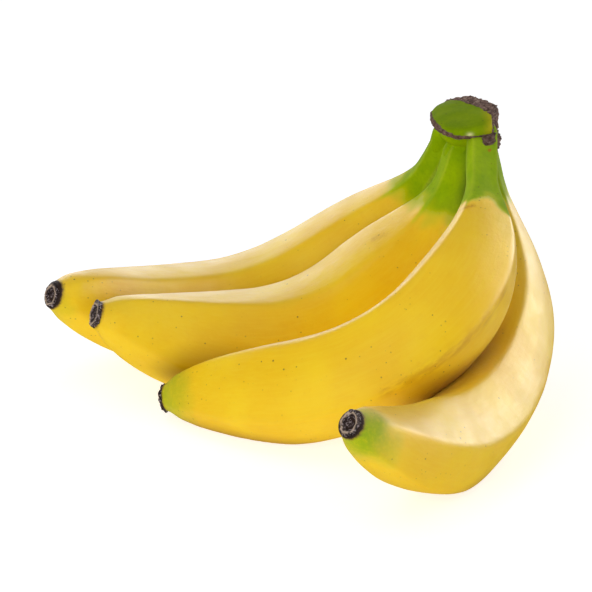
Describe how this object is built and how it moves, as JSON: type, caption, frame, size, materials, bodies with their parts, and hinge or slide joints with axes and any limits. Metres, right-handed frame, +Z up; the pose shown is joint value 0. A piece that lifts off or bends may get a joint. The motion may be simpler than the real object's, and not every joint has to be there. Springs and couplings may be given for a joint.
{
  "type": "bunch of bananas",
  "caption": "Bunch of ripe bananas lying on its bellies: curved fingers fan out and down from one cut crown, each with a stalk and a dried flower tip.",
  "frame": {"origin": "middle of the bunch's box on the surface that it lies on", "axes": "+Z up, +X to the crown's side, -Y to the side that the front banana points to"},
  "size_m": [0.1908, 0.2008, 0.111],
  "materials": {
    "peel": "waxy ripe banana peel, yellow with pale and green-tinged stretches, satin",
    "crown_skin": "green to yellow fibrous crown with a dried brown cut, matt",
    "dried_flower": "dry black-brown flower remnant, rough and matt"
  },
  "bodies": {
    "root": {"crown": "crown_skin", "banana_1": "peel", "banana_2": "peel", "banana_3": "peel", "banana_4": "peel", "flower_end_1": "dried_flower", "flower_end_2": "dried_flower", "flower_end_3": "dried_flower", "flower_end_4": "dried_flower"}
  },
  "joints": []
}
